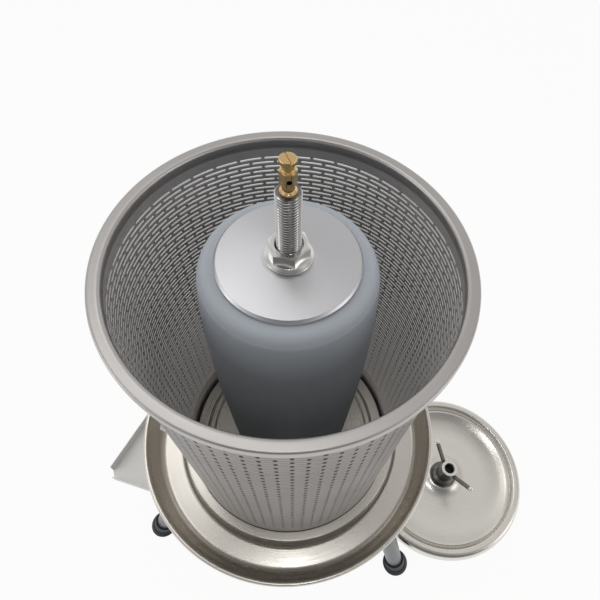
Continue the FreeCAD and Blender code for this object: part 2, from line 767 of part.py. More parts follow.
tray_pan = make_tray()
make_spout(tray_pan)
ring("basket_seal", "seal_inner", "seal_outer", "seat_height - seal_thickness", "seal_thickness")
for turn, name in enumerate(("left", "right", "back")):
    make_leg(name, size("leg_first_azimuth") + 120 * turn)
make_bladder()
make_clamps()
make_spindle()
make_nuts()
make_bleed_valve()
make_basket()
make_inlet()
make_lid()
doc.recompute()

for item in doc.Objects:
    if "Invalid" in item.State or "Error" in item.State:
        raise RuntimeError(f"{item.Label} failed: {item.State}")

os.makedirs("parts", exist_ok=True)
for item in SUB_PARTS:
    if item.Shape.isNull() or not item.Shape.isValid():
        raise RuntimeError(f"{item.Label} has no valid shape")
    item.Shape.exportStep(f"parts/{item.Label}.step")
print(len(SUB_PARTS), "sub-parts")
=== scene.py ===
# %% [markdown]
# # A water pressure fruit press
# This lesson dresses a finished CAD model of a fruit press. The press is a perforated steel
# basket round an upright rubber bladder, on a juice tray with three legs. Its lid lies on
# the floor beside it. The CAD model is loaded as a fixed frame in metres, so every piece made
# here is built straight in its place, and nothing has to be moved afterwards.

import math

import bmesh
import bpy
from mathutils import Matrix, Vector


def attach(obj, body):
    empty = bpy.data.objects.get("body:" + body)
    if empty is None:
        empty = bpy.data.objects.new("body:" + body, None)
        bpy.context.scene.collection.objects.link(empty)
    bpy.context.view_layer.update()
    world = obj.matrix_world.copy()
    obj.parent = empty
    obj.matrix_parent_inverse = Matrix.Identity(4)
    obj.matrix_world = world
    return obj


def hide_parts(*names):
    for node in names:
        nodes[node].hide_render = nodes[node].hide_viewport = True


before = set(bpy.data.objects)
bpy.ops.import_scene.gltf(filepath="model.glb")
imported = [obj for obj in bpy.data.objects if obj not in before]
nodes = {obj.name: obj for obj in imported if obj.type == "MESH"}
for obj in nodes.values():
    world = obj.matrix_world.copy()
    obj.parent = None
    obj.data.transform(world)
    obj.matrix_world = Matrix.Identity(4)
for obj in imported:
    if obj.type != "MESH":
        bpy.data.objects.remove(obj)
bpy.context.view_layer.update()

# %% [markdown]
# ## Sizes that several pieces share
# Lengths are written in millimetres, as on a workshop drawing, and turned into metres when a
# vertex is made. Heights are above the floor.

# %% Shared sizes
MM = 0.001
AXIS_XY = (0.0, 0.0)
LID_XY = (344.0, 53.0)
SEAT = 336.0
BASKET_RADIUS = 160.0
BASKET_WALL = 2.0
RIM_TOP = 804.0
CLAMP_TOP = 809.0
SPINDLE_TOP = 884.0
SPINDLE_RADIUS = 10.5
SPINDLE_HOLE = 10.8


# %% [markdown]
# ## Helpers for turned pieces
# Most of a press is round. A turned piece is a closed outline of radius and height that is
# spun about a vertical axis. Real corners are never razor sharp, so each corner of an outline
# may have a bend, which is replaced by a short arc. Two extra points beside each arc keep the
# flat faces flat when the shading is smooth.

# %% Round the corners of an outline
def rounded(corners, arc_points=5, holder=0.8):
    """Points of a closed outline of (radius, height, bend) corners, with each bend as an arc."""
    count = len(corners)
    points = []
    for index, (radius, height, bend) in enumerate(corners):
        here = Vector((radius, height))
        before = Vector(corners[index - 1][:2]) - here
        after = Vector(corners[(index + 1) % count][:2]) - here
        half = before.angle(after) / 2
        reach = min(bend / math.tan(half), 0.49 * before.length, 0.49 * after.length)
        if bend <= 0:
            points.append(here)
            continue
        entry = here + before.normalized() * reach
        leave = here + after.normalized() * reach
        if before.length - reach > 4 * holder:
            points.append(entry + before.normalized() * holder)
        for step in range(arc_points + 1):
            share = step / arc_points
            points.append(entry.lerp(here, share).lerp(here.lerp(leave, share), share))
        if after.length - reach > 4 * holder:
            points.append(leave + after.normalized() * holder)
    return points


def smooth_line(knots, per_span=6):
    """Points of a smooth curve through (radius, height) knots."""
    ends = [knots[0]] + list(knots) + [knots[-1]]
    points = []
    for index in range(1, len(ends) - 2):
        a, b, c, d = (Vector(ends[index + offset]) for offset in (-1, 0, 1, 2))
        for step in range(per_span):
            t = step / per_span
            points.append(0.5 * (2 * b + (c - a) * t + (2 * a - 5 * b + 4 * c - d) * t * t
                                 + (3 * b - a - 3 * c + d) * t ** 3))
    points.append(Vector(knots[-1]))
    return points


# %% Spin an outline into a closed mesh
def finish_mesh(mesh, sharp=35.0):
    """Weld doubles, point the faces outwards, and shade smooth between sharp edges."""
    shell = bmesh.new()
    shell.from_mesh(mesh)
    bmesh.ops.remove_doubles(shell, verts=shell.verts, dist=1e-6)
    bmesh.ops.recalc_face_normals(shell, faces=shell.faces)
    if shell.calc_volume(signed=True) < 0:
        print("turned inside out:", mesh.name)
        bmesh.ops.reverse_faces(shell, faces=shell.faces)
    shell.to_mesh(mesh)
    shell.free()
    mesh.shade_smooth()
    mesh.set_sharp_from_angle(angle=math.radians(sharp))
    return mesh


def new_piece(name, mesh, body, replaced=()):
    """Put a mesh in the scene as a piece that rides on a CAD body."""
    piece = bpy.data.objects.new(name, mesh)
    bpy.context.scene.collection.objects.link(piece)
    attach(piece, body)
    if replaced:
        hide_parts(*replaced)
    return piece


def turned(name, outline, centre=AXIS_XY, steps=160):
    """Mesh of a closed outline of (radius, height) points in millimetres, spun about an axis."""
    vertices = []
    for step in range(steps):
        angle = 2 * math.pi * step / steps
        for radius, height in outline:
            vertices.append(((centre[0] + radius * math.cos(angle)) * MM,
                             (centre[1] + radius * math.sin(angle)) * MM, height * MM))
    count = len(outline)
    faces = []
    for step in range(steps):
        here, there = step * count, (step + 1) % steps * count
        for index in range(count):
            following = (index + 1) % count
            faces.append((here + index, there + index, there + following, here + following))
    mesh = bpy.data.meshes.new(name)
    mesh.from_pydata(vertices, [], faces)
    return finish_mesh(mesh)


# %% [markdown]
# ## Helpers for nodes
# A node tree is a recipe. One small function adds a node, sets its options and feeds its
# sockets, so that each tree below reads as a list of steps.

# %% Add nodes to a tree
def add(tree, kind, feeds=None, **options):
    """Add a node. A feed is a value, or the socket of an earlier node."""
    node = tree.nodes.new(kind)
    for option, value in options.items():
        setattr(node, option, value)
    for socket, value in (feeds or {}).items():
        if isinstance(value, bpy.types.NodeSocket):
            tree.links.new(value, node.inputs[socket])
        else:
            node.inputs[socket].default_value = value
    return node


def math_node(tree, operation, first, second=0.0):
    return add(tree, "ShaderNodeMath", {0: first, 1: second}, operation=operation).outputs[0]


def vector_node(tree, operation, first, second):
    return add(tree, "ShaderNodeVectorMath", {0: first, 1: second}, operation=operation).outputs[0]


# %% [markdown]
# ## Metals
# All the steel here is brushed or spun, so its marks run round the axis. The material works
# out the distance from the axis and the height of each point, and stretches a noise along the
# turn. The noise drives a fine bump and small changes of roughness. A second, large noise adds
# the cloudy smears that a handled press has. Roughness is what makes the metal look polished
# or dull, and the bump what makes its highlight streaky.

# %% Turned and brushed metal
def round_coordinates(tree, centre):
    """Vector of (distance from the axis, height, turn) for a piece round a vertical axis."""
    place = add(tree, "ShaderNodeTexCoord").outputs["Object"]
    middle = vector_node(tree, "SUBTRACT", place, (centre[0] * MM, centre[1] * MM, 0.0))
    parts = add(tree, "ShaderNodeSeparateXYZ", {0: middle})
    across = math_node(tree, "POWER", parts.outputs[0], 2.0)
    along = math_node(tree, "POWER", parts.outputs[1], 2.0)
    distance = math_node(tree, "SQRT", math_node(tree, "ADD", across, along))
    turn = math_node(tree, "ARCTAN2", parts.outputs[1], parts.outputs[0])
    lap = math_node(tree, "MULTIPLY", turn, 0.002)
    return add(tree, "ShaderNodeCombineXYZ", {0: distance, 1: parts.outputs[2], 2: lap}).outputs[0]


def metal(name, colour, roughness, spread=0.08, grain=900.0, bump=0.12, smear=0.06,
          centre=AXIS_XY, brushed=0.0, grain_depth=0.0002, metallic=1.0):
    """Metal with marks that run round the axis."""
    material = bpy.data.materials.new(name)
    material.use_nodes = True
    tree = material.node_tree
    shader = tree.nodes["Principled BSDF"]
    shader.inputs["Metallic"].default_value = metallic
    if brushed:
        shader.inputs["Anisotropic"].default_value = brushed
        around = add(tree, "ShaderNodeTangent", direction_type="RADIAL", axis="Z")
        tree.links.new(around.outputs[0], shader.inputs["Tangent"])
    vector = round_coordinates(tree, centre)
    marks = add(tree, "ShaderNodeTexNoise", {"Vector": vector, "Scale": grain, "Detail": 3.0,
                                             "Roughness": 0.6})
    place = add(tree, "ShaderNodeTexCoord").outputs["Object"]
    clouds = add(tree, "ShaderNodeTexNoise", {"Vector": place, "Scale": 9.0, "Detail": 4.0,
                                              "Roughness": 0.55})
    rough = add(tree, "ShaderNodeMapRange", {"Value": marks.outputs[0], "From Min": 0.3, "From Max": 0.7,
                                             "To Min": roughness - spread, "To Max": roughness + spread})
    smeared = add(tree, "ShaderNodeMapRange", {"Value": clouds.outputs[0], "From Min": 0.35, "From Max": 0.7,
                                               "To Min": -smear, "To Max": smear})
    together = math_node(tree, "ADD", rough.outputs[0], smeared.outputs[0])
    tree.links.new(together, shader.inputs["Roughness"])
    darker = tuple(channel * 0.9 for channel in colour)
    tint = add(tree, "ShaderNodeMix", {"Factor": clouds.outputs[0], 6: (*darker, 1.0), 7: (*colour, 1.0)},
               data_type="RGBA")
    tree.links.new(tint.outputs[2], shader.inputs["Base Color"])
    relief = add(tree, "ShaderNodeBump", {"Strength": bump, "Distance": grain_depth, "Height": marks.outputs[0]})
    tree.links.new(relief.outputs[0], shader.inputs["Normal"])
    return material


STEEL = (0.62, 0.60, 0.575)
rim_steel = metal("rim_steel", (0.51, 0.49, 0.475), 0.40, spread=0.03, grain=900.0, bump=0.06, smear=0.03)
spun_steel = metal("spun_steel", (0.64, 0.61, 0.56), 0.29, spread=0.02, grain=500.0, bump=0.0, smear=0.03)
lid_steel = metal("lid_steel", (0.78, 0.75, 0.70), 0.27, spread=0.02, grain=500.0, bump=0.0, smear=0.03,
                  centre=LID_XY)
# The nut's steel is very dark: painted shade.
lid_nut_steel_painted_shade = metal("lid_nut_steel_painted_shade", (0.17, 0.165, 0.155), 0.26, spread=0.03, bump=0.03, centre=LID_XY)
spout_steel = metal("spout_steel", (0.88, 0.87, 0.85), 0.6, spread=0.03, bump=0.02, metallic=0.15)
turned_aluminium = metal("turned_aluminium", (0.62, 0.615, 0.635), 0.38, spread=0.03, grain=1500.0, bump=0.08,
                         brushed=0.45, smear=0.02)
bright_steel = metal("bright_steel", (0.78, 0.77, 0.75), 0.2, spread=0.03, grain=600.0, bump=0.03)
brass = metal("brass", (0.80, 0.58, 0.28), 0.17, spread=0.01, grain=300.0, bump=0.0, smear=0.02)
plated_brass = metal("plated_brass", (0.60, 0.59, 0.56), 0.26)


# %% [markdown]
# ## Perforated sheet
# The basket's sheet is bright where the punch sheared it and clean inside. Outside it is darker, which is a painted
# reflection of dark surroundings, and it pales towards the foot, which is a painted reflection of the bright tray.
# The material tells these apart by the direction of the surface: a cut edge of a slot faces up or down, and the dot
# product of the normal with the place is positive outside only.

# %% Sheet with bright cut edges
def punched_sheet(name, inside, outside, foot, edge, roughness, grazing):
    """Sheet with one colour inside, a darker painted reflection outside that pales towards the foot, and bright cut
    edges.
    """
    material = metal(name, inside, roughness, spread=0.03, grain=500.0, bump=0.02, smear=0.04)
    tree = material.node_tree
    shader = tree.nodes["Principled BSDF"]
    shader.inputs["Specular Tint"].default_value = (grazing, grazing, grazing, 1.0)
    normal = add(tree, "ShaderNodeNewGeometry").outputs["Normal"]
    place = add(tree, "ShaderNodeTexCoord").outputs["Object"]
    flat_place = add(tree, "ShaderNodeVectorMath", {0: place, 1: (1.0, 1.0, 0.0)}, operation="MULTIPLY").outputs[0]
    outward = add(tree, "ShaderNodeVectorMath", {0: normal, 1: flat_place}, operation="DOT_PRODUCT").outputs["Value"]
    is_outside = math_node(tree, "GREATER_THAN", outward, 0.0)
    upright = add(tree, "ShaderNodeSeparateXYZ", {0: normal}).outputs[2]
    is_edge = math_node(tree, "GREATER_THAN", math_node(tree, "ABSOLUTE", upright), 0.5)
    polished = math_node(tree, "MULTIPLY_ADD", is_edge, -0.5)
    polished.node.inputs[2].default_value = 0.8
    tree.links.new(polished, shader.inputs["Metallic"])
    found = shader.inputs["Base Color"].links[0].from_socket
    # Painted reflection: outside, the colour goes from the pale foot colour low down to the dark outside colour
    # higher up.
    level = add(tree, "ShaderNodeSeparateXYZ", {0: place}).outputs[2]
    rise = add(tree, "ShaderNodeMapRange", {"Value": level, "From Min": 0.44, "From Max": 0.70}).outputs[0]
    outer = add(tree, "ShaderNodeMix", {"Factor": rise, 6: (*foot, 1.0), 7: (*outside, 1.0)}, data_type="RGBA").outputs[2]
    colour_with_painted_reflection = add(tree, "ShaderNodeMix", {"Factor": is_outside, 6: found, 7: outer}, data_type="RGBA").outputs[2]
    whole = add(tree, "ShaderNodeMix", {"Factor": is_edge, 6: colour_with_painted_reflection, 7: (*edge, 1.0)}, data_type="RGBA").outputs[2]
    tree.links.new(whole, shader.inputs["Base Color"])
    return material


# The outside and foot colours of both sheets are painted reflection: dark up high and pale near the tray.
sheet_steel_painted_reflection = punched_sheet("sheet_steel_painted_reflection", (0.80, 0.77, 0.76), (0.34, 0.315, 0.305), (0.70, 0.66, 0.64),
                            (0.68, 0.67, 0.66), 0.34, 0.9)
# The tie steel's very dark outside colour is painted reflection.
tie_steel_painted_reflection = punched_sheet("tie_steel_painted_reflection", (0.78, 0.755, 0.745), (0.13, 0.12, 0.11), (0.46, 0.41, 0.39),
                          (0.60, 0.59, 0.58), 0.30, 0.0)


# %% Threaded steel with painted shade in its thread
def steel_with_painted_thread_shade(name, crest, root):
    """Bright steel that darkens between two radii in millimetres: painted shade in the roots of a thread."""
    material = metal(name, (0.74, 0.73, 0.72), 0.15, spread=0.02, grain=600.0, bump=0.02, smear=0.02)
    tree = material.node_tree
    shader = tree.nodes["Principled BSDF"]
    distance = add(tree, "ShaderNodeSeparateXYZ", {0: round_coordinates(tree, AXIS_XY)}).outputs[0]
    # Painted shade: the colour falls to 0.35 of itself at the root of the thread.
    unshaded_share = add(tree, "ShaderNodeMapRange", {"Value": distance, "From Min": root * MM, "From Max": crest * MM,
                                             "To Min": 0.35, "To Max": 1.0}).outputs[0]
    found = shader.inputs["Base Color"].links[0].from_socket
    painted_thread_shade = add(tree, "ShaderNodeVectorMath", {0: found, "Scale": unshaded_share}, operation="SCALE").outputs[0]
    tree.links.new(painted_thread_shade, shader.inputs["Base Color"])
    return material


spindle_steel_painted_shade = steel_with_painted_thread_shade("spindle_steel_painted_shade", 10.35, 9.5)


# %% [markdown]
# ## Rubber and paint
# Rubber scatters light in its surface and has only a dull gloss. The bladder carries the faint rings of its mould,
# and a dusty bloom that changes its grey a little; its grey also darkens towards its foot, which is painted shade.
# The legs are painted, with the tiny orange-peel bumps of powder paint.

# %% Rubber and paint
def dull(name, colour, roughness, gloss=0.4, dust=0.12, bump=0.15, grain=350.0, rings=False, painted_shade_by_height=(),
         depth=0.0003):
    """Rubber or paint: a mottled colour over a soft gloss, darkened by height as painted shade where a list of
    heights is given.
    """
    material = bpy.data.materials.new(name)
    material.use_nodes = True
    tree = material.node_tree
    shader = tree.nodes["Principled BSDF"]
    shader.inputs["Roughness"].default_value = roughness
    shader.inputs["Specular IOR Level"].default_value = gloss
    place = add(tree, "ShaderNodeTexCoord").outputs["Object"]
    clouds = add(tree, "ShaderNodeTexNoise", {"Vector": place, "Scale": 14.0, "Detail": 5.0})
    light = tuple(min(1.0, channel * (1 + 2 * dust) + dust * 0.1) for channel in colour)
    tint = add(tree, "ShaderNodeMix", {"Factor": clouds.outputs[0], 6: (*colour, 1.0), 7: (*light, 1.0)},
               data_type="RGBA").outputs[2]
    # Painted shade: the colour is multiplied by a grey that falls with height, darkest at the lowest height.
    if painted_shade_by_height:
        height = add(tree, "ShaderNodeSeparateXYZ", {0: place}).outputs[2]
        share = add(tree, "ShaderNodeMapRange", {"Value": height, "From Min": painted_shade_by_height[0][0] * MM,
                                                 "From Max": painted_shade_by_height[-1][0] * MM}).outputs[0]
        ramp = add(tree, "ShaderNodeValToRGB", {0: share})
        for index, (level, value) in enumerate(painted_shade_by_height):
            stops = ramp.color_ramp.elements
            position = (level - painted_shade_by_height[0][0]) / (painted_shade_by_height[-1][0] - painted_shade_by_height[0][0])
            stop = stops[0] if index == 0 else stops[-1] if index == len(painted_shade_by_height) - 1 else stops.new(position)
            stop.position = position
            stop.color = (value, value, value, 1.0)
        tint = add(tree, "ShaderNodeMix", {"Factor": 1.0, 6: tint, 7: ramp.outputs[0]}, data_type="RGBA",
                   blend_type="MULTIPLY").outputs[2]
    tree.links.new(tint, shader.inputs["Base Color"])
    vector = round_coordinates(tree, AXIS_XY) if rings else place
    marks = add(tree, "ShaderNodeTexNoise", {"Vector": vector, "Scale": grain, "Detail": 2.0})
    relief = add(tree, "ShaderNodeBump", {"Strength": bump, "Distance": depth, "Height": marks.outputs[0]})
    tree.links.new(relief.outputs[0], shader.inputs["Normal"])
    return material


# The height list darkens the bladder towards its foot: painted shade inside the basket.
bladder_rubber = dull("bladder_rubber", (0.45, 0.485, 0.53), 0.45, gloss=0.08, dust=0.05, rings=True, grain=260.0,
                      bump=0.2, painted_shade_by_height=((380.0, 0.08), (600.0, 0.24), (735.0, 0.50), (780.0, 0.86), (801.0, 1.0)))
black_rubber = dull("black_rubber", (0.012, 0.013, 0.016), 0.5, dust=0.02)
foot_rubber = dull("foot_rubber", (0.016, 0.018, 0.026), 0.55, dust=0.03)
leg_paint = dull("leg_paint", (0.13, 0.14, 0.155), 0.35, gloss=0.5, dust=0.06, grain=900.0)
fibre_washer = dull("fibre_washer", (0.34, 0.20, 0.15), 0.45, gloss=0.5, dust=0.05)
# A near black for the insides of bores: painted shade.
painted_bore_shade = dull("painted_bore_shade", (0.008, 0.007, 0.006), 0.7, gloss=0.1, dust=0.02)


def wear(item, material):
    """Give a piece or a carried-over CAD node one material."""
    item.data.materials.clear()
    item.data.materials.append(material)
    return item


def mark(item, material, is_marked):
    """Give one more material to the faces that pass a test."""
    item.data.materials.append(material)
    slot_index = len(item.data.materials) - 1
    for face in item.data.polygons:
        if is_marked(face):
            face.material_index = slot_index
    return item


# %% [markdown]
# ## The perforated basket
# A real basket starts as a flat sheet. A press tool punches rows of slots, each row shifted by
# half a slot, and the sheet is then rolled into a tube and welded. Geometry Nodes can follow the
# same steps: one small cell with its slot is repeated on a grid, each second row is shifted,
# and the flat sheet is rolled up. This needs one cell and a few numbers, where a boolean cut
# would need thousands of cutters.

# %% One cell of the sheet, flat
SLOT_COLUMNS = 38
SLOT_ROWS = 68
ROW_PITCH = 6.0
FIRST_ROW = 776.0
SLOT_HALF_LENGTH = 11.6
SLOT_HALF_HEIGHT = 1.15
SLOT_CORNER = 0.6
CELL_PITCH = 2 * math.pi * BASKET_RADIUS / SLOT_COLUMNS
LAST_ROW = FIRST_ROW - (SLOT_ROWS - 1) * ROW_PITCH


def slot_cell():
    """A piece of sheet, one slot long and one row high, lying flat, its outer side at z = 0."""
    half, high = CELL_PITCH / 2, ROW_PITCH / 2
    a, b, c = SLOT_HALF_LENGTH, SLOT_HALF_HEIGHT, SLOT_CORNER
    edge = [-half, -half / 2, 0.0, half / 2, half]
    slot_x = [-a + c, -half / 2, 0.0, half / 2, a - c]
    flat = [(x, -high) for x in edge] + [(x, high) for x in edge]
    flat += [(x, -b) for x in slot_x] + [(x, b) for x in slot_x]
    flat += [(-a, -b + c), (-a, b - c), (a, -b + c), (a, b - c)]
    sheet_faces = [(i, i + 1, i + 11, i + 10) for i in range(4)]
    sheet_faces += [(i + 15, i + 16, i + 6, i + 5) for i in range(4)]
    sheet_faces += [(0, 10, 20, 21, 15, 5), (4, 9, 19, 23, 22, 14)]
    around = [10, 11, 12, 13, 14, 22, 23, 19, 18, 17, 16, 15, 21, 20]
    count = len(flat)
    vertices = [(x * MM, y * MM, 0.0) for x, y in flat]
    vertices += [(x * MM, y * MM, -BASKET_WALL * MM) for x, y in flat]
    faces = list(sheet_faces)
    faces += [tuple(reversed([corner + count for corner in face])) for face in sheet_faces]
    for index, corner in enumerate(around):
        following = around[(index + 1) % len(around)]
        faces.append((following, corner, corner + count, following + count))
    mesh = bpy.data.meshes.new("slot_cell")
    mesh.from_pydata(vertices, [], faces)
    return mesh


cell = slot_cell()
print("cell faces:", len(cell.polygons), "pitch in mm:", round(CELL_PITCH, 2))


# %% The tree that repeats the cell and rolls the sheet
def named_input(tree, name, kind, value=None):
    socket = tree.interface.new_socket(name=name, in_out="INPUT", socket_type=kind)
    if value is not None:
        socket.default_value = value
    return socket


def new_tree(name):
    tree = bpy.data.node_groups.new(name, "GeometryNodeTree")
    tree.interface.new_socket(name="Geometry", in_out="INPUT", socket_type="NodeSocketGeometry")
    tree.interface.new_socket(name="Geometry", in_out="OUTPUT", socket_type="NodeSocketGeometry")
    return tree


def rolled_sheet_tree():
    tree = new_tree("rolled perforated sheet")
    for name, kind in (("Columns", "NodeSocketInt"), ("Rows", "NodeSocketInt"), ("Cell pitch", "NodeSocketFloat"),
                       ("Row pitch", "NodeSocketFloat"), ("Lowest row", "NodeSocketFloat"),
                       ("Radius", "NodeSocketFloat"), ("Turn", "NodeSocketFloat"), ("Finish", "NodeSocketMaterial")):
        named_input(tree, name, kind)
    given = tree.nodes.new("NodeGroupInput").outputs
    grid = add(tree, "GeometryNodeMeshGrid", {"Vertices X": given["Columns"], "Vertices Y": given["Rows"]})
    index = add(tree, "GeometryNodeInputIndex").outputs[0]
    row = math_node(tree, "MODULO", index, given["Rows"])
    column = math_node(tree, "FLOOR", math_node(tree, "DIVIDE", index, given["Rows"]))
    shift = math_node(tree, "MULTIPLY", math_node(tree, "MODULO", row, 2.0), 0.5)
    across = math_node(tree, "MULTIPLY", math_node(tree, "ADD", column, shift), given["Cell pitch"])
    rise = math_node(tree, "ADD", math_node(tree, "MULTIPLY", row, given["Row pitch"]), given["Lowest row"])
    spot = add(tree, "ShaderNodeCombineXYZ", {0: across, 1: rise}).outputs[0]
    spread = add(tree, "GeometryNodeSetPosition", {"Geometry": grid.outputs["Mesh"], "Position": spot})
    points = add(tree, "GeometryNodeMeshToPoints", {"Mesh": spread.outputs[0]})
    repeated = add(tree, "GeometryNodeInstanceOnPoints", {"Points": points.outputs[0], "Instance": given["Geometry"]})
    flat = add(tree, "GeometryNodeRealizeInstances", {"Geometry": repeated.outputs[0]})
    place = add(tree, "ShaderNodeSeparateXYZ", {0: add(tree, "GeometryNodeInputPosition").outputs[0]})
    angle = math_node(tree, "ADD", math_node(tree, "DIVIDE", place.outputs[0], given["Radius"]), given["Turn"])
    reach = math_node(tree, "ADD", given["Radius"], place.outputs[2])
    rolled_x = math_node(tree, "MULTIPLY", reach, math_node(tree, "COSINE", angle))
    rolled_y = math_node(tree, "MULTIPLY", reach, math_node(tree, "SINE", angle))
    rolled_place = add(tree, "ShaderNodeCombineXYZ", {0: rolled_x, 1: rolled_y, 2: place.outputs[1]}).outputs[0]
    rolled = add(tree, "GeometryNodeSetPosition", {"Geometry": flat.outputs[0], "Position": rolled_place})
    welded = add(tree, "GeometryNodeMergeByDistance", {"Geometry": rolled.outputs[0], "Distance": 0.00002})
    realized = add(tree, "GeometryNodeRealizeInstances", {"Geometry": welded.outputs[0]})
    dressed = add(tree, "GeometryNodeSetMaterial", {"Geometry": realized.outputs[0], "Material": given["Finish"]})
    tree.links.new(dressed.outputs[0], tree.nodes.new("NodeGroupOutput").inputs[0])
    return tree


def grown(name, mesh, tree, values):
    """Run a tree on a mesh with named values, and return the plain mesh that it makes."""
    holder = bpy.data.objects.new(name + "_holder", mesh)
    bpy.context.scene.collection.objects.link(holder)
    modifier = holder.modifiers.new("grow", "NODES")
    modifier.node_group = tree
    for socket in tree.interface.items_tree:
        if getattr(socket, "in_out", "") == "INPUT" and socket.name in values:
            modifier[socket.identifier] = values[socket.name]
    bpy.context.view_layer.update()
    evaluated = holder.evaluated_get(bpy.context.evaluated_depsgraph_get())
    made = bpy.data.meshes.new_from_object(evaluated)
    made.name = name
    bpy.data.objects.remove(holder)
    return made


# %% Close the sheet's two edges and put it in the scene
TIE_TURN = math.radians(-2.86)


def close_shell(mesh):
    """Bridge the open edges at the top and the foot of a double-walled tube."""
    shell = bmesh.new()
    shell.from_mesh(mesh)
    open_edges = [edge for edge in shell.edges if edge.is_boundary]
    middle = (FIRST_ROW + LAST_ROW) / 2 * MM
    for upper in (False, True):
        loops = [edge for edge in open_edges if (edge.verts[0].co.z > middle) == upper]
        bmesh.ops.bridge_loops(shell, edges=loops)
    shell.to_mesh(mesh)
    shell.free()
    return mesh


wall_mesh = grown("perforated_wall", cell, rolled_sheet_tree(), {
    "Columns": SLOT_COLUMNS, "Rows": SLOT_ROWS, "Cell pitch": CELL_PITCH * MM, "Row pitch": ROW_PITCH * MM,
    "Lowest row": LAST_ROW * MM, "Radius": BASKET_RADIUS * MM, "Turn": TIE_TURN, "Finish": sheet_steel_painted_reflection})
finish_mesh(close_shell(wall_mesh))
perforated_wall = new_piece("perforated_wall", wall_mesh, "basket", ["basket_wall"])
# The outer faces of the ties between the slots wear the darker tie steel: painted reflection.
mark(perforated_wall, tie_steel_painted_reflection, lambda face: len(face.vertices) == 6 and face.center.xy.length > 159.2 * MM)
print("wall triangles:", sum(len(face.vertices) - 2 for face in wall_mesh.polygons))

# %% [markdown]
# ## Plain bands and the rolled rim
# The sheet has no slots near its top and foot. The rim is rolled outwards into a bead that
# stiffens the basket's mouth. Bands and bead are turned pieces.

# %% Bands and rim
TOP_BAND_FOOT = FIRST_ROW + ROW_PITCH / 2
FOOT_BAND_TOP = LAST_ROW - ROW_PITCH / 2


def band(name, low, high):
    inner = BASKET_RADIUS - BASKET_WALL
    return new_piece(name, turned(name, [(inner, low), (BASKET_RADIUS, low), (BASKET_RADIUS, high), (inner, high)],
                                  steps=304), "basket", ())


top_band = wear(band("top_band", TOP_BAND_FOOT, 788.0), sheet_steel_painted_reflection)
foot_band = wear(band("foot_band", SEAT, FOOT_BAND_TOP), sheet_steel_painted_reflection)


rim_corners = [(158.0, 788.0, 0), (158.0, 791.6, 1.5), (154.9, 794.6, 2.0), (154.9, 803.2, 4.6), (167.0, 802.8, 2.6),
               (167.0, 792.6, 2.2), (160.0, 791.8, 0.6), (160.0, 788.0, 0)]
rim_mesh = turned("rolled_rim", rounded(rim_corners, arc_points=8), steps=256)
rolled_rim = wear(new_piece("rolled_rim", rim_mesh, "basket", ["basket_rim"]), rim_steel)

# %% [markdown]
# ## Cutting one piece by another
# A boolean cut takes a closed tool away from a closed mesh. The tray needs one for the window
# that lets the juice out to the spout, and the legs need one where they meet the tray.

# %% Cut a mesh
def cut_by(mesh, tool_mesh):
    """Take one closed mesh away from another."""
    holder = bpy.data.objects.new("holder", mesh)
    tool = bpy.data.objects.new("tool", tool_mesh)
    for item in (holder, tool):
        bpy.context.scene.collection.objects.link(item)
    modifier = holder.modifiers.new("cut", "BOOLEAN")
    modifier.object = tool
    modifier.operation = "DIFFERENCE"
    modifier.solver = "EXACT"
    bpy.context.view_layer.update()
    made = bpy.data.meshes.new_from_object(holder.evaluated_get(bpy.context.evaluated_depsgraph_get()))
    made.name = mesh.name
    for item in (holder, tool):
        bpy.data.objects.remove(item)
    return made


def box_tool(name, size, place):
    """A closed box of a size in millimetres, already put in its place by a matrix in metres."""
    tool_mesh = bpy.data.meshes.new(name)
    shell = bmesh.new()
    bmesh.ops.create_cube(shell, size=1.0)
    shell.transform(place @ Matrix.Diagonal((size[0] * MM, size[1] * MM, size[2] * MM, 1)))
    shell.to_mesh(tool_mesh)
    shell.free()
    return tool_mesh


# %% [markdown]
# ## The juice tray
# The tray is one spun disc: a flat seat for the basket, a trough round it that gathers the
# juice, and a wall that flares up to a rolled edge. Spinning leaves soft bends everywhere, so
# every corner of the outline has a bend.

# %% Juice tray
TRAY_SHEET = 2.0
upper_side = [(SPINDLE_HOLE, 333, 0), (125.5, 333, 1.5), (128.5, 330, 1.5), (135, 330, 1.5), (138.5, 336, 2),
              (154.1, 336, 0.4), (154.1, 333, 0.3), (160.8, 333, 0.3), (160.8, 336, 0.4), (174.7, 336, 2.5),
              (180.0, 314.4, 5), (215.5, 314, 11), (230.5, 352, 6)]
lower_side = [(217.3, 312, 13), (178.2, 312.3, 5), (173, 334, 2), (162.9, 334, 1), (162.9, 331, 1),
              (152.0, 331, 1), (152.0, 334, 1), (140, 334, 2), (136.6, 328, 1.5), (127.4, 328, 1.5),
              (124.6, 331, 1.5), (SPINDLE_HOLE, 331, 0)]
EDGE_BEAD = [(228.0, 357.0, 2.0), (229.6, 360.0, 2.0), (233.2, 360.2, 2.0), (235.0, 357.4, 2.0), (234.2, 354.0, 2.0),
             (231.8, 352.6, 1.0), (229.5, 353.2, 0.8)]
tray_outline = rounded(upper_side[:-1] + [(228.6, 352.4, 0)] + EDGE_BEAD[:-1] + [(230.8, 351.4, 0)] + lower_side)
window_place = Matrix.Rotation(math.radians(184.0), 4, "Z") @ Matrix.Translation((0.222, 0, 0.3202))
tray_mesh = cut_by(turned("spun_tray", tray_outline, steps=240), box_tool("window", (26, 36, 12), window_place))
spun_tray = wear(new_piece("spun_tray", tray_mesh, "base", ["juice_tray"]), spun_steel)

# %% [markdown]
# ## The basket's seal
# A black rubber ring lies in a groove of the tray, and the basket's edge stands on it.

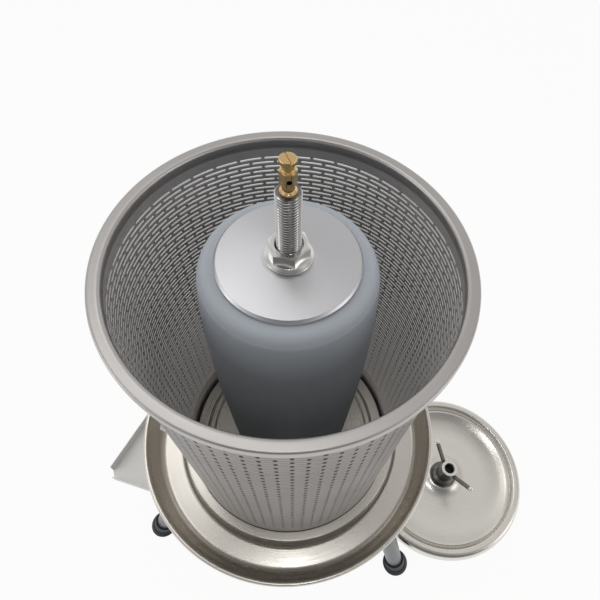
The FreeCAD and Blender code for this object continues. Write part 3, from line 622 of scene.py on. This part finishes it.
# %% Basket seal
seal_corners = [(154.4, 333.05, 0.6), (160.5, 333.05, 0.6), (160.5, 335.95, 0.8), (154.4, 335.95, 0.8)]
basket_seal = wear(new_piece("rubber_seal", turned("rubber_seal", rounded(seal_corners), steps=200), "base",
                             ["basket_seal"]), black_rubber)

# %% [markdown]
# ## The bladder
# The bladder is a thick rubber barrel. Water swells it against the fruit. Its outline is one
# smooth curve through a few measured radii, fullest above the middle, with a round shoulder.

# %% Bladder
barrel = smooth_line([(66.0, 801.0), (71.5, 800.4), (76.0, 797.6), (79.2, 792.5), (81.4, 785.0), (84.0, 755.0),
                      (86.2, 705.0), (87.3, 645.0), (87.2, 600.0), (86.0, 545.0), (84.6, 480.0), (82.8, 410.0),
                      (81.4, 360.0), (80.6, 341.0), (78.0, 335.0), (73.0, 333.2)])
barrel += [Vector((SPINDLE_HOLE, 333.2)), Vector((SPINDLE_HOLE, 801.0))]
bladder = wear(new_piece("rubber_bladder", turned("rubber_bladder", barrel, steps=192), "base", ["bladder"]), bladder_rubber)

# %% [markdown]
# ## The clamp disc and the flange nut
# A turned aluminium disc presses the bladder's head down, and a flange nut holds the disc. The
# nut is a hexagon whose corners are turned down to a cone, so its top edge is a row of arcs.
# Each vertical line of the nut ends where the cone meets the flat, which gives those arcs
# exactly.

# %% Clamp disc
disc_corners = [(SPINDLE_HOLE, 801, 0), (64.3, 801, 0.4), (64.3, 804.4, 0.8), (62.2, 806.6, 0.8), (24.0, 808.8, 1.0),
                (SPINDLE_HOLE, 808.9, 0)]
clamp_disc = wear(new_piece("clamp_disc", turned("clamp_disc", rounded(disc_corners), steps=200), "base",
                            ["top_clamp"]), turned_aluminium)


# %% Hexagon with turned corners
def hexed(name, flats, low, high, bore, cone_fall=30.0, centre=AXIS_XY, steps=96, turn=0.0, both=False, mouth=0.6):
    """Mesh of a hexagonal nut whose upper corners, or both ends, are turned to a cone."""
    slope = math.tan(math.radians(cone_fall))
    crown = flats / 2 * 0.96
    rings = []
    for step in range(steps):
        angle = 2 * math.pi * step / steps
        side = (angle % (math.pi / 3)) - math.pi / 6
        reach = flats / 2 / math.cos(side)
        drop = max(reach - crown, 0) * slope
        outline = [(crown, low), (reach, low + drop)] if both else [(reach, low)]
        outline += [(reach, high - drop), (crown, high), (bore + mouth, high), (bore, high - mouth), (bore, low)]
        rings.append([((centre[0] + radius * math.cos(angle + turn)) * MM,
                       (centre[1] + radius * math.sin(angle + turn)) * MM, height * MM)
                      for radius, height in outline])
    count = len(rings[0])
    faces = []
    for step in range(steps):
        here, there = step * count, (step + 1) % steps * count
        for index in range(count):
            following = (index + 1) % count
            faces.append((here + index, there + index, there + following, here + following))
    mesh = bpy.data.meshes.new(name)
    mesh.from_pydata([place for one in rings for place in one], [], faces)
    return finish_mesh(mesh, 20.0)


def joined(name, meshes):
    """One mesh made of several."""
    shell = bmesh.new()
    for mesh in meshes:
        shell.from_mesh(mesh)
    whole = bpy.data.meshes.new(name)
    shell.to_mesh(whole)
    shell.free()
    return whole


# %% Flange nut
flange_corners = [(SPINDLE_HOLE, 809, 0), (21.3, 809, 0.5), (21.3, 811.2, 0.8), (17.6, 813.2, 0.8), (SPINDLE_HOLE, 813.2, 0)]
flange_nut = wear(new_piece("nut_with_flange", joined("nut_with_flange", [
    turned("flange", rounded(flange_corners), steps=120),
    hexed("hexagon", 32.0, 812.6, 826.0, SPINDLE_HOLE, mouth=1.6, turn=math.radians(-4))]), "base", ["flange_nut"]),
    bright_steel)

# %% [markdown]
# ## The threaded spindle
# A screw thread follows a rule, so Geometry Nodes can cut it. The tree starts from a smooth
# rod of many rings. For each point it works out how far along the helix it is, and moves the
# point in or out by a wave with flat crests. A helix made this way never leaves a seam.

# %% The tree that cuts a thread
def thread_tree():
    tree = new_tree("cut thread")
    for name in ("Pitch", "Depth", "Top", "Foot", "Radius"):
        named_input(tree, name, "NodeSocketFloat")
    named_input(tree, "Finish", "NodeSocketMaterial")
    given = tree.nodes.new("NodeGroupInput").outputs
    place = add(tree, "ShaderNodeSeparateXYZ", {0: add(tree, "GeometryNodeInputPosition").outputs[0]}).outputs
    angle = math_node(tree, "ARCTAN2", place[1], place[0])
    lap = math_node(tree, "DIVIDE", angle, 2 * math.pi)
    along = math_node(tree, "SUBTRACT", math_node(tree, "DIVIDE", place[2], given["Pitch"]), lap)
    wave = math_node(tree, "SINE", math_node(tree, "MULTIPLY", along, 2 * math.pi))
    steep = add(tree, "ShaderNodeClamp", {0: math_node(tree, "MULTIPLY", wave, 1.5), 1: -1.0, 2: 1.0}).outputs[0]
    from_top = math_node(tree, "SUBTRACT", given["Top"], place[2])
    from_foot = math_node(tree, "SUBTRACT", place[2], given["Foot"])
    nearest = math_node(tree, "MINIMUM", from_top, from_foot)
    lead_in = add(tree, "ShaderNodeMapRange", {"Value": nearest, "From Min": 0.0, "From Max": 0.0015,
                                               "To Min": 1.0, "To Max": 0.0}).outputs[0]
    groove = math_node(tree, "MULTIPLY", math_node(tree, "SUBTRACT", 1.0, steep), 0.5)
    cut = math_node(tree, "MULTIPLY", math_node(tree, "MAXIMUM", groove, lead_in), given["Depth"])
    reach = math_node(tree, "POWER", math_node(tree, "ADD", math_node(tree, "POWER", place[0], 2.0),
                                               math_node(tree, "POWER", place[1], 2.0)), 0.5)
    outside = math_node(tree, "GREATER_THAN", reach, math_node(tree, "MULTIPLY", given["Radius"], 0.98))
    keep = math_node(tree, "SUBTRACT", 1.0, math_node(tree, "DIVIDE", math_node(tree, "MULTIPLY", cut, outside),
                                                      given["Radius"]))
    moved = add(tree, "ShaderNodeCombineXYZ", {0: math_node(tree, "MULTIPLY", place[0], keep),
                                               1: math_node(tree, "MULTIPLY", place[1], keep), 2: place[2]})
    threaded = add(tree, "GeometryNodeSetPosition", {"Geometry": given["Geometry"], "Position": moved.outputs[0]})
    realized = add(tree, "GeometryNodeRealizeInstances", {"Geometry": threaded.outputs[0]})
    dressed = add(tree, "GeometryNodeSetMaterial", {"Geometry": realized.outputs[0], "Material": given["Finish"]})
    tree.links.new(dressed.outputs[0], tree.nodes.new("NodeGroupOutput").inputs[0])
    return tree


thread_cutter = thread_tree()


def ringed_rod(name, radius, bore, low, high, step, sides=48):
    """A tube with many rings, ready for a thread."""
    rings = round((high - low) / step)
    outline = [(bore, low)] + [(radius, low + (high - low) * ring / rings) for ring in range(rings + 1)]
    outline += [(bore, high)]
    return turned(name, outline, steps=sides)


# %% Spindle
THREAD_PITCH = 2.85
THREAD_DEPTH = 1.25
spindle_runs = []
for low, high in ((806.0, SPINDLE_TOP), (301.2, 331.0)):
    rod = ringed_rod("threaded_rod", SPINDLE_RADIUS, 4.6, low, high, THREAD_PITCH / 8)
    spindle_runs.append(grown("thread_run", rod, thread_cutter, {
        "Pitch": THREAD_PITCH * MM, "Depth": THREAD_DEPTH * MM, "Top": high * MM, "Foot": low * MM,
        "Radius": SPINDLE_RADIUS * MM, "Finish": bright_steel}))
spindle_runs.append(turned("plain_rod", [(4.6, 331.0), (10.2, 331.0), (10.2, 806.0), (4.6, 806.0)], steps=48))
spindle_mesh = finish_mesh(joined("threaded_spindle", spindle_runs), 40.0)
spindle = wear(new_piece("threaded_spindle", spindle_mesh, "base", ["spindle"]), spindle_steel_painted_shade)

# %% [markdown]
# ## The bleed valve
# A small brass valve on top of the spindle lets the air out. Its body is a hexagon with a hole
# through its side, and its screw has a knurled, slotted head. The knurl is a ring of fine
# notches made by moving every second line of the head inwards.

# %% Bleed valve body
def drilled(mesh, start, end, radius):
    """Cut a round hole through a mesh with a boolean."""
    tool_mesh = bpy.data.meshes.new("drill")
    shell = bmesh.new()
    run = Vector(end) - Vector(start)
    bmesh.ops.create_cone(shell, cap_ends=True, segments=24, radius1=radius * MM, radius2=radius * MM,
                          depth=run.length * MM)
    turn = run.to_track_quat("Z", "Y").to_matrix().to_4x4()
    middle = (Vector(start) + Vector(end)) / 2 * MM
    shell.transform(Matrix.Translation(middle) @ turn)
    shell.to_mesh(tool_mesh)
    shell.free()
    return cut_by(mesh, tool_mesh)


valve_body = hexed("valve_hexagon", 11.8, 892.5, 904.3, 2.6, both=True, turn=math.radians(18))
valve_body = drilled(valve_body, (2.9, -9, 897.2), (-2.9, 9, 897.2), 2.0)
neck_corners = [(2.6, 884.1, 0), (7.0, 884.1, 0.3), (7.0, 885.1, 0.4), (5.0, 886.2, 0.3), (5.0, 892.7, 0),
                (2.6, 892.7, 0)]
collar_corners = [(2.6, 904.2, 0), (5.4, 904.2, 0.3), (5.4, 905.6, 0.4), (4.8, 906.0, 0.2), (2.6, 906.0, 0)]
bleed_body_mesh = joined("brass_valve_body", [
    finish_mesh(valve_body, 20.0), turned("neck", rounded(neck_corners, holder=0.3), steps=48),
    turned("collar", rounded(collar_corners, holder=0.3), steps=48)])
bleed_body = wear(new_piece("brass_valve_body", bleed_body_mesh, "base", ["bleed_valve_body", "bleed_washer"]), brass)
hole_line = Vector((2.9, -9)).normalized()
mark(bleed_body, fibre_washer, lambda face: face.center.z < 885.6 * MM)
# The faces inside the cross hole wear painted shade.
mark(bleed_body, painted_bore_shade, lambda face: abs(face.center.z - 897.2 * MM) < 2.05 * MM
     and (face.center.xy - hole_line * face.center.xy.dot(hole_line)).length < 2.05 * MM)


# %% Knurled and slotted head of the bleed screw
def knurled_head(radius, low, high, notches, depth):
    """A disc with a bevelled top, whose side has fine vertical notches."""
    outline = [(0.001, low), (radius - 0.5, low), (radius, low + 0.4), (radius, high - 0.5), (radius - 0.6, high),
               (0.001, high)]
    steps = notches * 4
    vertices, faces = [], []
    for step in range(steps):
        angle = 2 * math.pi * step / steps
        sunk = depth if step % 4 in (0, 1) else 0.0
        for index, (reach, height) in enumerate(outline):
            here = reach - sunk if index in (2, 3) else reach
            vertices.append((here * math.cos(angle) * MM, here * math.sin(angle) * MM, height * MM))
    count = len(outline)
    for step in range(steps):
        here, there = step * count, (step + 1) % steps * count
        for index in range(count - 1):
            faces.append((here + index, there + index, there + index + 1, here + index + 1))
    mesh = bpy.data.meshes.new("head")
    mesh.from_pydata(vertices, [], faces)
    shell = bmesh.new()
    shell.from_mesh(mesh)
    bmesh.ops.remove_doubles(shell, verts=shell.verts, dist=5e-6)
    bmesh.ops.recalc_face_normals(shell, faces=shell.faces)
    shell.to_mesh(mesh)
    shell.free()
    return mesh


slot_place = Matrix.Translation((0, 0, 0.9141)) @ Matrix.Rotation(math.radians(-58), 4, "Z")
slot_tool = box_tool("slot_tool", (20, 1.1, 3), slot_place)
head_mesh = cut_by(knurled_head(6.5, 910.4, 914.0, 30, 0.3), slot_tool)
shank_corners = [(0.01, 894.2, 0), (2.4, 894.2, 0), (2.4, 906.1, 0), (4.5, 906.1, 0.3), (4.5, 910.5, 0), (0.01, 910.5, 0)]
bleed_screw_mesh = joined("brass_bleed_screw", [finish_mesh(head_mesh, 25.0),
                                                turned("shank", rounded(shank_corners, holder=0.3), steps=48)])
bleed_screw = wear(new_piece("brass_bleed_screw", bleed_screw_mesh, "bleed_screw", ["bleed_screw"]), brass)
wear(nodes["bleed_ring"], brass)

# %% [markdown]
# ## The lid and its nut
# The lid is a pressed disc: a raised flat edge, a deep groove behind it, and a shallow dish in
# the middle. The nut in its centre has two arms with round ends, and screws down on the
# spindle. Round coordinates of its material start at the lid's own centre.

# %% Lid
lid_dish = [(11.5, 11.8), (28.0, 11.8), (33.0, 11.2), (41.0, 8.6), (50.0, 7.0), (62.0, 6.6), (80.0, 6.9),
            (97.0, 7.4), (112.0, 8.6), (128.0, 11.0), (140.0, 14.2), (147.0, 16.4), (150.6, 16.6), (152.6, 14.6), (154.4, 12.6), (156.2, 14.8),
            (158.2, 19.0), (161.5, 21.3), (167.0, 21.9), (173.0, 20.4), (176.6, 16.2), (178.2, 10.0), (179.0, 4.6)]
lid_sheet = 2.0
lid_curl = [(178.6, 1.2), (176.4, 0.05), (174.4, 0.8), (173.6, 3.0), (174.8, 4.6)]
lid_under = [(radius - (1.8 if radius > 170 else 0.0), height - lid_sheet) for radius, height in lid_dish[-2::-1]]
lid_line = smooth_line(lid_dish + lid_curl, per_span=5) + smooth_line(lid_under, per_span=3)
lid_mesh = turned("pressed_lid", lid_line, centre=LID_XY, steps=224)
lid = wear(new_piece("pressed_lid", lid_mesh, "lid", ["lid"]), lid_steel)

# %% Boss, hub and arms of the lid's nut
boss_corners = [(11.5, 7.5, 0), (30, 7.5, 0.8), (30, 12.5, 1.2), (11.5, 12.5, 0)]
lid_boss = wear(new_piece("turned_boss", turned("turned_boss", rounded(boss_corners), centre=LID_XY, steps=120),
                          "lid", ["lid_boss"]), lid_nut_steel_painted_shade)
hub_corners = [(9.2, 12.7, 0), (24.6, 12.7, 1.0), (24.6, 17.5, 2.5), (18.2, 23.0, 3), (18.0, 69.4, 1.6), (11.4, 69.5, 0.5),
               (9.2, 67.0, 0.4)]
lid_hub = wear(new_piece("nut_hub", turned("nut_hub", rounded(hub_corners), centre=LID_XY, steps=96), "lid_nut",
                         ["lid_nut_hub"]), lid_nut_steel_painted_shade)
hub_axis = Vector((LID_XY[0], LID_XY[1])) * MM
# The hub's top face wears the pale lid steel and its sides the dark nut steel: a painted highlight on top and painted
# shade on the sides.
mark(lid_hub, lid_steel, lambda face: face.center.z > 69.2 * MM)
# The bore of the hub wears painted shade.
mark(lid_hub, painted_bore_shade, lambda face: (face.center.xy - hub_axis).length < 9.7 * MM)
wear(nodes["lid_nut_arms"], lid_nut_steel_painted_shade)
wear(nodes["lid_nut_balls"], bright_steel)

# %% [markdown]
# ## What the CAD model already shows well
# The legs, the water inlet under the tray and the parts inside the bladder have the right
# shapes already. They only need their materials.

# %% Materials for the carried-over nodes
under_tray = turned("under_tray", rounded([(150, 334.1, 0), (173, 334, 1), (178.2, 312.2, 5), (217.3, 311.9, 13),
                                           (230.9, 351.4, 0), (230.9, 380, 0), (150, 380, 0)]), steps=240)
for side in ("left", "right", "back"):
    for part in ("leg_tube", "leg_socket"):
        node = nodes[f"{part}_{side}"]
        trimmed = node.data.copy()
        trimmed.transform(node.matrix_world)
        trimmed = finish_mesh(cut_by(trimmed, under_tray.copy()))
        wear(new_piece(f"trimmed_{part}_{side}", trimmed, "base", [f"{part}_{side}"]), leg_paint)
    wear(nodes[f"rubber_foot_{side}"], foot_rubber)
spout_mesh = nodes["tray_spout"].data.copy()
spout_mesh.transform(nodes["tray_spout"].matrix_world)
spout_mesh = finish_mesh(cut_by(spout_mesh, under_tray.copy()))
juice_spout = wear(new_piece("juice_spout", spout_mesh, "base", ["tray_spout"]), spout_steel)
for name in ("upper_inner_clamp", "lower_inner_clamp"):
    wear(nodes[name], turned_aluminium)
for name in ("upper_jam_nut", "lower_jam_nut", "tray_nut", "tray_washer", "valve_ball", "valve_stem", "lever_nut",
             "valve_lever"):
    wear(nodes[name], bright_steel)
for name in ("inlet_elbow", "valve_body", "hose_coupling"):
    wear(nodes[name], plated_brass)

# %% [markdown]
# ## Studio
# The press stands on a pale floor in an even white studio. Metal shows what it reflects, so the world is pale at the
# horizon, darker half way up, pale again above that, and dark straight above: that gives each round piece its light
# and dark bands. The camera sees plain white.

# %% Floor
floor_mesh = bpy.data.meshes.new("studio_floor")
floor_half = 6.0
floor_mesh.from_pydata([(-floor_half, -floor_half, 0), (floor_half, -floor_half, 0), (floor_half, floor_half, 0),
                        (-floor_half, floor_half, 0)], [], [(0, 1, 2, 3)])
floor = bpy.data.objects.new("studio_floor", floor_mesh)
bpy.context.scene.collection.objects.link(floor)
floor_material = bpy.data.materials.new("pale_floor")
floor_material.use_nodes = True
tree = floor_material.node_tree
shader = tree.nodes["Principled BSDF"]
shader.inputs["Base Color"].default_value = (0.93, 0.93, 0.925, 1)
shader.inputs["Roughness"].default_value = 0.9
shader.inputs["Specular IOR Level"].default_value = 0.1
glow = add(tree, "ShaderNodeEmission", {"Color": (1, 1, 1, 1), "Strength": 1.0})
seen = add(tree, "ShaderNodeLightPath")
direct = math_node(tree, "MAXIMUM", seen.outputs["Is Camera Ray"], seen.outputs["Is Glossy Ray"])
share = math_node(tree, "MULTIPLY", math_node(tree, "MAXIMUM", direct, seen.outputs["Is Transmission Ray"]), 0.93)
blend = add(tree, "ShaderNodeMixShader", {0: share, 1: shader.outputs[0], 2: glow.outputs[0]})
tree.links.new(blend.outputs[0], tree.nodes["Material Output"].inputs["Surface"])
wear(floor, floor_material)

# %% World
FRONT = (0.10, -0.66, 0.74)
world = bpy.data.worlds.new("studio")
bpy.context.scene.world = world
world.use_nodes = True
tree = world.node_tree
tree.nodes.clear()
look = add(tree, "ShaderNodeTexCoord").outputs["Generated"]
height = add(tree, "ShaderNodeSeparateXYZ", {0: look}).outputs[2]
ramp = add(tree, "ShaderNodeValToRGB", {0: height})
ramp.color_ramp.elements[0].position = 0.0
ramp.color_ramp.elements[0].color = (0.95, 0.94, 0.92, 1)
ramp.color_ramp.elements[1].position = 1.0
ramp.color_ramp.elements[1].color = (0.38, 0.38, 0.385, 1)
for position, level in ((0.35, 0.85), (0.60, 0.62), (0.70, 0.55), (0.8, 0.72), (0.93, 0.92), (0.968, 0.74)):
    ramp.color_ramp.elements.new(position).color = (level, level * 0.995, level * 0.985, 1)
patches = add(tree, "ShaderNodeTexNoise", {"Vector": look, "Scale": 1.7, "Detail": 1.0}).outputs[0]
patchy = add(tree, "ShaderNodeMapRange", {"Value": patches, "From Min": 0.35, "From Max": 0.65, "To Min": 0.85,
                                          "To Max": 1.12}).outputs[0]
front = add(tree, "ShaderNodeVectorMath", {0: look, 1: FRONT}, operation="DOT_PRODUCT").outputs["Value"]
shade = add(tree, "ShaderNodeMapRange", {"Value": front, "From Min": 0.55, "From Max": 0.92, "To Min": 1.0,
                                         "To Max": 0.25}, interpolation_type="SMOOTHSTEP").outputs[0]
level = math_node(tree, "MULTIPLY", patchy, shade)
dimmed = add(tree, "ShaderNodeVectorMath", {0: ramp.outputs[0], "Scale": level}, operation="SCALE").outputs[0]
soft = add(tree, "ShaderNodeBackground", {"Color": dimmed, "Strength": 1.0})
plain = add(tree, "ShaderNodeBackground", {"Color": (1, 1, 1, 1), "Strength": 1.0})
path = add(tree, "ShaderNodeLightPath")
mixed = add(tree, "ShaderNodeMixShader", {0: path.outputs["Is Camera Ray"], 1: soft.outputs[0], 2: plain.outputs[0]})
output = add(tree, "ShaderNodeOutputWorld", {"Surface": mixed.outputs[0]})


# %% Lamps
def lamp(name, place, target, power, width, height, colour=(1, 1, 1)):
    """A soft rectangular lamp that points at a place."""
    data = bpy.data.lights.new(name, "AREA")
    data.shape = "RECTANGLE"
    data.size, data.size_y = width, height
    data.energy = power
    data.color = colour
    item = bpy.data.objects.new(name, data)
    bpy.context.scene.collection.objects.link(item)
    item.location = place
    item.rotation_mode = "QUATERNION"
    item.rotation_quaternion = (Vector(target) - Vector(place)).to_track_quat("-Z", "Y")
    return item


PRESS_MIDDLE = (0.0, 0.0, 0.55)
lamp("back_left_softbox", (-0.75, 0.63, 2.75), PRESS_MIDDLE, 4.0, 0.9, 0.9)
lamp("left_softbox", (-2.0, -0.7, 1.4), PRESS_MIDDLE, 5, 0.8, 1.4)
lamp("right_softbox", (2.1, -0.4, 1.4), PRESS_MIDDLE, 4, 0.8, 1.4)
lamp("top_lamp", (0.05, -0.15, 2.6), PRESS_MIDDLE, 2.5, 0.3, 0.3)

# %% [markdown]
# ## Camera
# The camera stands above and in front of the press, tilted steeply down and turned a little
# about its own axis. Its place and its small shift were worked out from the ellipses of the
# rim, the tray and the lid in the photograph.

# %% Camera
camera_data = bpy.data.cameras.new("camera")
camera_data.lens = 29.148
camera_data.sensor_width = 36.0
camera_data.shift_x = -0.0495
camera_data.shift_y = 0.0352
camera_data.clip_start, camera_data.clip_end = 0.02, 40.0
camera = bpy.data.objects.new("camera", camera_data)
bpy.context.scene.collection.objects.link(camera)
heading = Matrix.Rotation(math.radians(1.84), 4, "Z")
tilt = Matrix.Rotation(math.radians(30.42), 4, "X")
roll = Matrix.Rotation(math.radians(7.39), 4, "Z")
camera.matrix_world = Matrix.Translation((0.04939, -0.25082, 1.13888)) @ heading @ tilt @ roll
bpy.context.scene.camera = camera
bpy.context.scene.view_settings.view_transform = "Standard"
